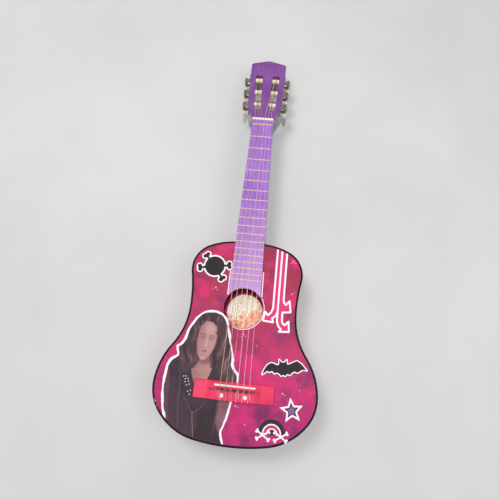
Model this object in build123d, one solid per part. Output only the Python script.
"""Small six-string acoustic guitar of the 30 inch class, lying on its back.

+X is the treble side, +Y points to the head, +Z out of the soundboard. Millimetres.
The origin is the middle of the bounding box in plan and the flat back in height.
"""

import math
import os

from build123d import *

os.makedirs("parts", exist_ok=True)

# Along the guitar
TAIL_Y = -388.5
TIP_Y = 388.5
ZERO_Y = 204.5  # zero fret
SCALE = 492.0  # zero fret to the uncompensated saddle
JOINT_Y = -42.1  # body meets neck, at the twelfth fret
FACE_Y = ZERO_Y + 14.5  # the tilted head face starts here
# Heights
DEPTH = 68.0  # body, back to soundboard face
PLATE_T = 3.0
RIB_T = 2.5
BIND_TOP = 3.5  # black edging as seen on the soundboard
BIND_H = 5.0
LINING_W = 6.0
LINING_H = 12.0
BOARD_T = 5.0  # fingerboard
# Neck
NUT_W = 42.0
JOINT_W = 52.8
NECK_D = (22.0, 19.0)  # depth at the joint and at the nut
NUT_Y = (ZERO_Y + 9.5, FACE_Y)
FRETS = 18
# Soundhole and bridge
HOLE_Y = ZERO_Y - 367.5
HOLE_R = 35.5
BRIDGE_X = -1.4  # glued on a little to the bass side
BRIDGE_Y = (ZERO_Y - 522.4, ZERO_Y - 492.5)
BRIDGE_W = 135.4
BLOCK_W = 72.0
BRIDGE_BASE = 3.0
BRIDGE_TOP = 8.5
SADDLE_Y = ZERO_Y - 498.4
SADDLE_TOP = 10.6
TIE_FRONT = ZERO_Y - 508.4
# Headstock, in its own tilted frame: x across, s from the nut, h above the face
TILT = 10.0
HEAD_T = 18.0
TAPER = 2.2
SIDE_X, SIDE_S = 34.4, 50.0
SIDE_END = 137.0  # the sides run parallel from here to the shoulder
SHOULDER_S = 159.0
TIP_S = (TIP_Y - FACE_Y) / math.cos(math.radians(TILT))
SLOT = (30.6, 126.2)
SLOT_IN = 18.85  # slot centreline, in from the side
SLOT_W = 15.0
SLOT_R = 2.4  # corners
# Tuners
ROLLER_S = (48.0, 83.0, 118.0)
AXIS_H = -9.0
ROLLER_STEP = 35.0 / math.cos(math.radians(TAPER))  # along the side
TEETH = 14
MODULE = 0.72
PITCH = math.pi * MODULE
GEAR_R = TEETH * MODULE / 2
WORM_R = 2.45
CENTRES = GEAR_R + WORM_R
LEAD = math.atan(PITCH / (2 * math.pi * WORM_R))
WORM_X = 9.0  # gear mid-plane and worm axis, outboard of the side
# Strings, bass to treble: radius, where they cross the nut and the saddle
STRING_R = (0.55, 0.47, 0.40, 0.50, 0.43, 0.37)
NUT_SPREAD = 33.0
SADDLE_SPREAD = 49.0

OUTLINE = (
    (60.7, -383.1),
    (124.6, -344.7),
    (139.2, -297.2),
    (117.2, -236.8),
    (94.8, -172.1),
    (100.2, -107.3),
    (72.8, -53.4),
    (25.9, JOINT_Y),
)
HEAD = Plane(
    origin=(0, FACE_Y, DEPTH),
    x_dir=(1, 0, 0),
    z_dir=(0, math.sin(math.radians(TILT)), math.cos(math.radians(TILT))),
)


def save(name, shape):
    """One STEP file per node; several loose solids become one compound."""
    solids = shape.solids() if not isinstance(shape, (list, tuple)) else list(shape)
    shape = solids[0] if len(solids) == 1 else Compound(children=list(solids))
    shape.label = name
    export_step(shape, f"parts/{name}.step")


def fret_y(n):
    return ZERO_Y - SCALE * (1 - 2 ** (-n / 12))


def board_half(y):
    """Half width of neck and fingerboard at y."""
    run = (ZERO_Y - y) / (ZERO_Y - JOINT_Y)
    return (NUT_W + (JOINT_W - NUT_W) * run) / 2


def side_half(s):
    """Half width of the headstock at s."""
    return SIDE_X + (s - SIDE_S) * math.tan(math.radians(TAPER))


def box(x0, x1, y0, y1, z0, z1):
    centre = ((x0 + x1) / 2, (y0 + y1) / 2, (z0 + z1) / 2)
    return Pos(*centre) * Box(x1 - x0, y1 - y0, z1 - z0)


def rod(p, q, r):
    """Round bar from p to q."""
    p, q = Vector(*p), Vector(*q)
    d = q - p
    return extrude(Plane(origin=p, z_dir=d) * Circle(r), d.length)


# ---------------------------------------------------------------- body


def body_face(inset=0.0):
    """Body outline, drawn in by inset."""
    first = TangentArc((0, TAIL_Y), OUTLINE[0], tangent=(1, 0))
    half = [first]
    for point in OUTLINE[1:]:
        half.append(TangentArc(half[-1] @ 1, point, tangent=half[-1] % 1))
    other = [edge.mirror(Plane.YZ) for edge in half]
    top = Line(OUTLINE[-1], (-OUTLINE[-1][0], OUTLINE[-1][1]))
    face = make_face([*half, top, *other])
    return offset(face, -inset, kind=Kind.INTERSECTION) if inset else face


def slab(face, z0, z1):
    return Pos(0, 0, z0) * extrude(face, z1 - z0, dir=(0, 0, 1))


OUTER = body_face()
INNER = body_face(RIB_T)
CLEAR = body_face(RIB_T + LINING_W + 0.1)
NECK_BLOCK = box(-30, 30, JOINT_Y - 32, JOINT_Y + 5, PLATE_T, DEPTH - PLATE_T)
TAIL_BLOCK = box(-28, 28, TAIL_Y - 5, TAIL_Y + 22, PLATE_T, DEPTH - PLATE_T)


def ring(outer, inner, z0, z1):
    return slab(outer, z0, z1) - slab(inner, z0 - 1, z1 + 1)


def bolt_points():
    return [(BRIDGE_X - 19.7, ZERO_Y - 514.5), (BRIDGE_X + 19.7, ZERO_Y - 514.5)]


def top_binding():
    """Strip in a stepped rebate: wide on the soundboard, narrow down the side."""
    edge = ring(OUTER, body_face(BIND_TOP), DEPTH - PLATE_T, DEPTH)
    return edge + ring(OUTER, INNER, DEPTH - BIND_H, DEPTH - PLATE_T)


def soundboard():
    board = slab(body_face(BIND_TOP), DEPTH - PLATE_T, DEPTH)
    board -= Pos(0, HOLE_Y, DEPTH) * Cylinder(HOLE_R, 10)
    for x, y in bolt_points():
        board -= Pos(x, y, DEPTH) * Cylinder(1.5, 10)
    return board


def ribs():
    whole = ring(OUTER, INNER, BIND_H, DEPTH - BIND_H)
    bass = whole & box(-200, 0, -400, 0, -5, 80)
    treble = whole & box(0, 200, -400, 0, -5, 80)
    return bass, treble


def linings():
    inner = body_face(RIB_T + LINING_W)
    top = ring(INNER, inner, DEPTH - PLATE_T - LINING_H, DEPTH - PLATE_T)
    back = ring(INNER, inner, PLATE_T, PLATE_T + LINING_H)
    blocks = NECK_BLOCK + TAIL_BLOCK
    return top - blocks, back - blocks


def blocks():
    core = slab(INNER, PLATE_T, DEPTH - PLATE_T)
    return core & NECK_BLOCK, core & TAIL_BLOCK


def bar(y, angle, length, width, z0, z1, x=0.0):
    solid = Pos(x, y, (z0 + z1) / 2) * Rot(0, 0, angle) * Box(length, width, z1 - z0)
    return solid & slab(CLEAR, z0 - 1, z1 + 1)


def braces():
    under = DEPTH - PLATE_T
    plate_front = BRIDGE_Y[1] + 8
    top = [bar(HOLE_Y + 47, 0, 260, 9, under - 12, under)]
    top.append(bar(HOLE_Y - 47, 0, 260, 9, under - 12, under))
    for x, angle in ((-48, -12), (0, 0), (48, 12)):
        fan = bar(plate_front + 26, 90 + angle, 46, 6, under - 7, under, x)
        top.append(fan)
    back = [bar(y, 0, 300, 10, PLATE_T, PLATE_T + 11) for y in (-105, -225, -315)]
    return top, back


def bridge_plate():
    front, rear = BRIDGE_Y[1] + 6, BRIDGE_Y[0] - 6
    plate = box(BRIDGE_X - 75, BRIDGE_X + 75, rear, front, DEPTH - PLATE_T - 3, DEPTH - PLATE_T)
    for x, y in bolt_points():
        plate -= Pos(x, y, DEPTH - 5) * Cylinder(1.5, 12)
    return plate


# ---------------------------------------------------------------- neck


def dee(plane, half, depth, power):
    """Flat on top, rounded below: a neck section drawn in plane (x across, y up)."""
    points = []
    for i in range(17):
        a = math.pi * i / 16
        c, s = math.cos(a), math.sin(a)
        x = half * math.copysign(abs(c) ** (2 / power), c)
        points.append(plane.from_local_coords((x, -depth * abs(s) ** (2 / power), 0)))
    curve = Spline(*points)
    return make_face([curve, Line(curve @ 1, curve @ 0)])


def upright(y):
    return Plane(origin=(0, y, DEPTH), x_dir=(-1, 0, 0), z_dir=(0, 1, 0))


def neck():
    joint, nut = NECK_D
    mid = (JOINT_Y + FACE_Y) / 2
    faces = [
        dee(upright(JOINT_Y), board_half(JOINT_Y), joint, 2.2),
        dee(upright(mid), board_half(mid), (joint + nut) / 2, 2.2),
        dee(upright(FACE_Y), board_half(FACE_Y), nut, 2.2),
    ]
    shaft = loft(faces)
    # Heel: sections stacked in height, flat against the body
    rows = ((60, 25.2, 66), (50, 24.6, 36), (38, 23, 25), (22, 20.5, 20), (3, 17, 17))
    stack = []
    for z, half, reach in rows:
        flat = Plane(origin=(0, JOINT_Y, z), x_dir=(-1, 0, 0), z_dir=(0, 0, 1))
        stack.append(dee(flat, half, reach, 2.3))
    return shaft + loft(stack)


def headstock():
    """Slotted head: throat, tilted slab, gabled crown, two slots, bores for the tuners."""
    cut = 30.0
    shoulder = side_half(SIDE_END)
    plan = Polyline(
        (side_half(cut), cut),
        (shoulder, SIDE_END),
        (shoulder, SHOULDER_S),
        (shoulder - 4, SHOULDER_S + 3.4),
        (5, TIP_S - 1.3),
        (0, TIP_S),
        (-5, TIP_S - 1.3),
        (4 - shoulder, SHOULDER_S + 3.4),
        (-shoulder, SHOULDER_S),
        (-shoulder, SIDE_END),
        (-side_half(cut), cut),
        close=True,
    )
    head = extrude(HEAD * make_face(plan), -HEAD_T)
    corners = head.edges().filter_by(lambda e: abs(e.length - HEAD_T) < 0.01)
    shoulders = [e for e in corners if e.center().Y > FACE_Y + 145 and abs(e.center().X) > 20]
    head = fillet(shoulders, 3.0)

    def across(s, half, depth, power):
        point = HEAD.from_local_coords((0, s, 0))
        ahead = HEAD.from_local_coords((0, s + 1, 0)) - point
        return dee(Plane(origin=point, x_dir=(-1, 0, 0), z_dir=ahead), half, depth, power)

    throat = loft(
        [
            dee(upright(FACE_Y), board_half(FACE_Y), NECK_D[1], 2.2),
            across(12, 26.2, HEAD_T - 0.2, 3.4),
            across(cut, side_half(cut), HEAD_T, 9.0),
        ]
    )
    head += throat
    for sign in (-1, 1):
        head -= slot(sign)
    for k in range(6):
        head -= at_tuner(k, bores())
    for side in (-1, 1):
        for y in SCREW_Y:
            tool = at_tuner(1 if side < 0 else 4, rod((1, y, 0), (-5.0, y, 0), 1.0))
            head -= tool
    return head


def slot(sign):
    """Slot with rounded corners through the head, and a ramp cut at its nut end."""
    turn = -sign * TAPER
    s0, s1 = SLOT
    mid = (s0 + s1) / 2
    x = sign * (side_half(mid) - SLOT_IN / math.cos(math.radians(TAPER)))
    frame = Plane(HEAD.location * Location((x, mid, 0), (0, 0, turn)))
    long = s1 - s0
    mouth = frame * RectangleRounded(SLOT_W, long, SLOT_R)
    cutter = extrude(mouth, -HEAD_T - 2) + extrude(mouth, 2)
    drop, run = 5.0, 15.0
    low = -long / 2 - 5
    wedge = Polyline((low, 2), (low, 0), (low + run, -drop), (low + run, 2), close=True)
    side = Plane(frame.location * Location((0, 0, 0), (0, 0, 0)))
    face = Plane(
        origin=side.from_local_coords((-SLOT_W / 2 + 0.75, 0, 0)),
        x_dir=side.y_dir,
        z_dir=side.x_dir,
    )
    return cutter + extrude(face * make_face(wedge), SLOT_W - 1.5)


# ---------------------------------------------------------------- fingerboard


def fret_profile(n):
    """Section in y (across the fret) and z: low crown over a short tang."""
    high = 1.25 if n == 0 else 1.0
    top = DEPTH + BOARD_T
    crown = ThreePointArc((-1.1, 0), (0, high), (1.1, 0))
    legs = Polyline((1.1, 0), (0.3, 0), (0.3, -1.8), (-0.3, -1.8), (-0.3, 0), (-1.1, 0))
    plane = Plane(origin=(0, fret_y(n), top), x_dir=(0, 1, 0), z_dir=(1, 0, 0))
    return plane * make_face([crown, legs])


def frets():
    solids = []
    for n in range(FRETS + 1):
        half = board_half(fret_y(n)) - 0.25
        solids.append(extrude(fret_profile(n), half, both=True))
    return solids


def fingerboard(bars):
    front, rear = NUT_Y[0], HOLE_Y
    plan = Polyline(
        (board_half(front), front),
        (board_half(rear), rear),
        (-board_half(rear), rear),
        (-board_half(front), front),
        close=True,
    )
    board = slab(make_face(plan), DEPTH, DEPTH + BOARD_T)
    board -= Pos(0, HOLE_Y, DEPTH) * Cylinder(HOLE_R, 20)
    for piece in bars:
        board -= piece
    return board


def nut_x(i):
    return NUT_SPREAD * (i / 5 - 0.5)


def saddle_x(i):
    return SADDLE_SPREAD * (i / 5 - 0.5)


def string_line(i):
    """Height of string i's centre at the zero fret and at the saddle."""
    r = STRING_R[i]
    return DEPTH + BOARD_T + 1.25 + r + 0.03, DEPTH + SADDLE_TOP + r + 0.03


def nut():
    half = board_half(FACE_Y)
    block = box(-half, half, NUT_Y[0], NUT_Y[1], DEPTH, DEPTH + BOARD_T + 2.6)
    top = block.faces().sort_by(Axis.Z)[-1]
    block = fillet(top.edges().filter_by(Axis.X), 1.0)
    for i in range(6):
        r = STRING_R[i] + 0.1
        z = string_line(i)[0] - 0.1
        groove = box(nut_x(i) - r, nut_x(i) + r, NUT_Y[0] - 1, FACE_Y + 1, z, z + 10)
        groove += rod((nut_x(i), NUT_Y[0] - 1, z), (nut_x(i), FACE_Y + 1, z - 0.35), r)
        block -= groove
    return block


# ---------------------------------------------------------------- bridge


def saddle():
    half = 34.2
    bar_ = box(-half, half, SADDLE_Y - 1.5, SADDLE_Y + 1.5, DEPTH + 3.5, DEPTH + SADDLE_TOP)
    top = bar_.faces().sort_by(Axis.Z)[-1]
    return fillet(top.edges().filter_by(Axis.X), 1.2)


def bridge():
    y0, y1 = BRIDGE_Y
    z = DEPTH
    left, right = BRIDGE_X - BRIDGE_W / 2, BRIDGE_X + BRIDGE_W / 2
    base = box(left, right, y0, y1, z, z + BRIDGE_BASE)
    base = fillet(base.edges().filter_by(Axis.Z), 1.4)
    wings = box(left, right, y0, y1, z + BRIDGE_BASE, z + 4.2)
    wings = fillet(wings.edges().filter_by(Axis.Z), 1.4)
    top = wings.faces().sort_by(Axis.Z)[-1]
    wings = chamfer(top.edges(), 1.0)
    h = BLOCK_W / 2
    ramp = Polyline((-h - 9, 0), (-h, 4.3), (h, 4.3), (h + 9, 0), close=True)
    core = Plane(origin=(BRIDGE_X, y1 - 0.8, z + 4.2), x_dir=(1, 0, 0), z_dir=(0, -1, 0))
    core = extrude(core * make_face(ramp), y1 - y0 - 1.6)
    body = base + wings + core
    # channel between saddle and tie block, saddle slot, string holes, bolt wells
    front = SADDLE_Y - 4.0
    half = [(h + 7, (front + TIE_FRONT) / 2), (h - 1, front)]
    other = [(-x, y) for x, y in reversed(half)]
    plan = Polyline(*half, *other, (1 - h, TIE_FRONT), (h - 1, TIE_FRONT), close=True)
    body -= Pos(BRIDGE_X, 0, 0) * slab(make_face(plan), z + BRIDGE_BASE, z + 20)
    body -= box(-34.2, 34.2, SADDLE_Y - 1.5, SADDLE_Y + 1.5, z + 3.5, z + 20)
    for i in range(6):
        x = saddle_x(i)
        body -= rod((x, y0 - 5, z + 5.2), (x, TIE_FRONT + 1, z + 5.2), 0.85)
    for x, y in bolt_points():
        body -= Pos(x, y, z + BRIDGE_TOP) * Cylinder(3.25, 8.0)
        body -= Pos(x, y, z) * Cylinder(1.5, 12)
    return body


def bridge_dots():
    thick = 1.2
    return [
        Pos(x, y, DEPTH + BRIDGE_TOP - thick / 2) * Cylinder(3.25, thick)
        for x, y in bolt_points()
    ]


def bridge_bolts():
    """Head in its well under the dot, shank down through board and plate, nut below."""
    solids = []
    for x, y in bolt_points():
        head = Pos(x, y, DEPTH + 5.5) * Cylinder(2.8, 2.0)
        shank = rod((x, y, DEPTH + 4.6), (x, y, DEPTH - 10.0), 1.5)
        foot = extrude(Pos(x, y, DEPTH - 8.6) * RegularPolygon(3.2, 6), 2.6)
        solids.append(head + shank + foot)
    return solids


# ---------------------------------------------------------------- tuners

SCREW_Y = (-42.0, -21.0, 18.5, 44.0)  # plate screws, from the middle roller


def at_tuner(k, shape):
    """Place a shape drawn for the treble side: x outward, y to the tip, z off the face."""
    row = k if k < 3 else 5 - k
    s = ROLLER_S[row]
    frame = HEAD.location * Location((side_half(s), s, AXIS_H), (0, 0, -TAPER))
    placed = frame * shape
    return placed if k >= 3 else placed.mirror(Plane.YZ)


def bores():
    return rod((1, 0, 0), (-12, 0, 0), 3.08) + rod((-24, 0, 0), (-30.8, 0, 0), 2.58)


def roller():
    """Shaft end for the gear, journal, barrel across the slot, inner journal."""
    end = WORM_X + 1.5
    near, far = SLOT_W / 2 - SLOT_IN - 0.25, 0.25 - SLOT_IN - SLOT_W / 2
    body = rod((end, 0, 0), (1.4, 0, 0), 2.2)
    body += rod((1.5, 0, 0), (near - 0.2, 0, 0), 3.0)
    body += rod((near, 0, 0), (far, 0, 0), 5.0)
    body += rod((far + 0.2, 0, 0), (-30.5, 0, 0), 2.5)
    body -= rod((end + 0.5, 0, 0), (end - 5.0, 0, 0), 1.2)
    body -= rod((-SLOT_IN, 0, -6), (-SLOT_IN, 0, 6), 0.7)
    return body


def gear_face():
    """Trapezoid teeth, a gap centred straight down."""
    root, tip = GEAR_R - 0.90, GEAR_R + 0.62
    points = []
    for n in range(TEETH):
        mid = math.radians(-90 + (n + 0.5) * 360 / TEETH)
        for r, half in ((root, -0.60), (tip, -0.24), (tip, 0.24), (root, 0.60)):
            a = mid + math.asin(half / r)
            points.append((r * math.cos(a), r * math.sin(a)))
    return make_face(Polyline(*points, close=True))


def gear():
    wide = 3.0
    twist = math.degrees(math.tan(LEAD) * wide / GEAR_R)
    face = gear_face().rotate(Axis.Z, -twist / 2).face()
    wheel = Solid.extrude_linear_with_rotation(face, (0, 0, 0), (0, 0, wide), twist)
    wheel = Pos(0, 0, WORM_X - wide / 2) * wheel
    hub = Pos(0, 0, WORM_X / 2 + 0.25) * Cylinder(3.6, WORM_X - 2.5)
    body = wheel + hub
    body -= Pos(0, 0, 5) * Cylinder(2.2, 20)
    return body.rotate(Axis.Y, 90)


def gear_screw():
    seat = WORM_X + 1.5
    head = rod((seat, 0, 0), (seat + 1.5, 0, 0), 2.9)
    head = fillet(head.edges().sort_by(Axis.X)[-1], 0.6)
    head -= Pos(seat + 1.5, 0, 0) * Box(1.2, 7, 0.8)
    return head + rod((seat + 0.1, 0, 0), (seat - 4.5, 0, 0), 1.2)


def thread():
    """Single-start right-hand thread as a twisted section, crest facing the gear at z 0."""
    core, crest = WORM_R - 0.80, WORM_R + 0.62
    long = 9.0
    turn = 360 * long / PITCH
    flat, ramp = 0.48 / PITCH * 360, 0.35 / PITCH * 360

    def polar(r, deg):
        a = math.radians(deg)
        return (r * math.cos(a), r * math.sin(a))

    a = flat / 2
    b = a + ramp
    edges = [
        ThreePointArc(polar(crest, -a), polar(crest, 0), polar(crest, a)),
        Line(polar(crest, a), polar(core, b)),
        ThreePointArc(polar(core, b), polar(core, 180), polar(core, 360 - b)),
        Line(polar(core, 360 - b), polar(crest, -a)),
    ]
    face = make_face(edges).rotate(Axis.Z, 90 - turn / 2).face()
    solid = Solid.extrude_linear_with_rotation(face, (0, 0, 0), (0, 0, long), turn)
    return Pos(0, 0, -long / 2) * solid


def worm():
    body = thread()
    body += rod((0, 0, 4.4), (0, 0, 5.8), 2.4)
    body += rod((0, 0, -4.4), (0, 0, -5.8), 2.4)
    body += rod((0, 0, 5.7), (0, 0, 8.4), 1.5)
    body += rod((0, 0, 7.5), (0, 0, 8.4), 2.3)
    body += rod((0, 0, -5.7), (0, 0, -16.4), 1.5)
    return Pos(WORM_X, -CENTRES, 0) * body


def button():
    """Flat oval knob with a short round collar, bored for the worm shaft."""
    plane = Plane(origin=(-3.1, 0, 0), x_dir=(0, 1, 0), z_dir=(1, 0, 0))
    oval = extrude(plane * Pos(0, -14.6) * Ellipse(8.2, 6.1), 6.2)
    oval = fillet(oval.edges(), 2.4)
    body = oval + rod((0, 0, -7.7), (0, 0, -10.5), 2.7)
    body -= rod((0, 0, -5), (0, 0, -16.4), 1.5)
    return Pos(WORM_X, -CENTRES, 0) * body


def tuner_plate():
    """Strip for three tuners, drawn around the middle roller."""
    plane = Plane(origin=(0, -1, 0), x_dir=(0, 1, 0), z_dir=(1, 0, 0))
    body = extrude(plane * SlotOverall(103, 14.8), 1.2)
    for step in (-ROLLER_STEP, 0.0, ROLLER_STEP):
        for z0, z1 in ((6.0, 7.3), (-7.3, -6.0)):
            y = step - CENTRES
            lug = box(0.6, WORM_X, y - 3.1, y + 3.1, z0, z1)
            lug += Pos(WORM_X, y, (z0 + z1) / 2) * Cylinder(3.1, z1 - z0)
            body += lug
        body -= rod((WORM_X, step - CENTRES, -9), (WORM_X, step - CENTRES, 9), 1.58)
        body -= rod((-1, step, 0), (3, step, 0), 3.08)
    for y in SCREW_Y:
        body -= rod((-1, y, 0), (3, y, 0), 1.0)
    return body


def plate_screws():
    solids = []
    for k in (1, 4):
        for y in SCREW_Y:
            head = rod((1.2, y, 0), (2.3, y, 0), 2.0)
            head = fillet(head.edges().sort_by(Axis.X)[-1], 0.7)
            head -= Pos(2.3, y, 0) * Box(0.9, 0.6, 3.0)
            head -= Pos(2.3, y, 0) * Box(0.9, 3.0, 0.6)
            solids.append(at_tuner(k, head + rod((1.3, y, 0), (-5.0, y, 0), 1.0)).solid())
    return solids


# ---------------------------------------------------------------- strings


def route(points, cut):
    """Straight runs joined by tangent arcs."""
    points = [Vector(*p) for p in points]
    edges, start = [], points[0]
    for a, b, c in zip(points, points[1:], points[2:]):
        into, out = (b - a).normalized(), (c - b).normalized()
        take = min(cut, (b - a).length * 0.45, (c - b).length * 0.45)
        p, q = b - into * take, b + out * take
        edges += [Line(start, p), TangentArc(p, q, tangent=into)]
        start = q
    edges.append(Line(start, points[-1]))
    return Wire(edges)


def roller_end(i, start):
    """Where string i meets the top of its roller, tangent, in world coordinates."""
    s, h = HEAD.to_local_coords(start).Y, HEAD.to_local_coords(start).Z
    sign = -1 if i < 3 else 1
    near = ROLLER_S[i if i < 3 else 5 - i]
    inboard = (17.8, 19.6, 20.4)[i if i < 3 else 5 - i]
    x = side_half(near) - inboard
    axis_s = near + inboard * math.tan(math.radians(TAPER))
    reach = 5.0 + STRING_R[i] + 0.06
    ds, dh = axis_s - s, AXIS_H - h
    far = math.hypot(ds, dh)
    angle = math.atan2(dh, ds) + math.asin(reach / far)
    run = math.sqrt(far * far - reach * reach)
    return HEAD.from_local_coords(
        (sign * x, s + run * math.cos(angle), h + run * math.sin(angle))
    )


def string(i):
    """Tied at the bridge, over saddle, zero fret and nut, down to its roller."""
    r = STRING_R[i]
    xs, xn = saddle_x(i), nut_x(i)
    zero, sad = string_line(i)
    out = 1 if i < 3 else -1
    z = DEPTH + 5.2
    rear = BRIDGE_Y[0] + 0.8
    over = DEPTH + BRIDGE_TOP + r + 0.06
    side = (r + 0.75) * out
    low = DEPTH + BRIDGE_BASE + r + 0.12
    front = TIE_FRONT + r + 0.12
    knot = [
        (xs - side * 1.9, TIE_FRONT - 9.0, over + 0.02),
        (xs - side * 1.7, front, over + 0.02),
        (xs - side * 1.2, front + 0.2, low + 1.0),
        (xs, front + 0.5, low),
        (xs + side * 1.2, front + 0.2, low + 1.0),
        (xs + side * 1.3, front, over),
        (xs + side * 0.6, rear - r - 0.4, over),
        (xs, rear - r - 0.4, z),
        (xs, TIE_FRONT + 1.9, z),
    ]
    top = [(xs, SADDLE_Y - 0.9, sad), (xs, SADDLE_Y + 0.9, sad)]
    slope = (xn - xs) / (ZERO_Y - SADDLE_Y)
    x_zero = xn - slope * (NUT_Y[0] - ZERO_Y)
    end = [(x_zero, ZERO_Y, zero), (xn, NUT_Y[0] + 0.4, zero - 0.08)]
    last = (xn, FACE_Y - 0.2, zero - 0.38)
    path = route([*knot, *top, *end, last, roller_end(i, Vector(*last))], 1.6)
    start = Plane(origin=path @ 0, z_dir=path % 0)
    return sweep(start * Circle(r), path=path)


def build():
    rib_bass, rib_treble = ribs()
    lining_top, lining_back = linings()
    neck_block, tail_block = blocks()
    top_braces, back_braces = braces()
    bars = frets()
    save("soundboard", soundboard())
    save("back_plate", slab(INNER, 0, PLATE_T))
    save("rib_bass", rib_bass)
    save("rib_treble", rib_treble)
    save("top_binding", top_binding())
    save("back_binding", ring(OUTER, INNER, 0, BIND_H))
    save("top_lining", lining_top)
    save("back_lining", lining_back)
    save("neck_block", neck_block)
    save("tail_block", tail_block)
    save("top_braces", [b.solid() for b in top_braces])
    save("back_braces", [b.solid() for b in back_braces])
    save("bridge_plate", bridge_plate())
    save("neck", neck())
    save("headstock", headstock())
    save("fingerboard", fingerboard(bars))
    save("frets", [b.solid() for b in bars])
    save("nut", nut())
    save("bridge", bridge())
    save("saddle", saddle())
    save("bridge_dots", [d.solid() for d in bridge_dots()])
    save("bridge_bolts", [b.solid() for b in bridge_bolts()])
    save("strings_bass", [string(i).solid() for i in range(3)])
    save("strings_treble", [string(i).solid() for i in range(3, 6)])
    save("tuner_plate_bass", at_tuner(1, tuner_plate()))
    save("tuner_plate_treble", at_tuner(4, tuner_plate()))
    save("plate_screws", plate_screws())
    for k in range(6):
        save(f"roller_{k + 1}", at_tuner(k, roller()))
        save(f"gear_{k + 1}", at_tuner(k, gear()))
        save(f"gear_screw_{k + 1}", at_tuner(k, gear_screw()))
        save(f"worm_{k + 1}", at_tuner(k, worm()))
        save(f"button_{k + 1}", at_tuner(k, button()))


build()
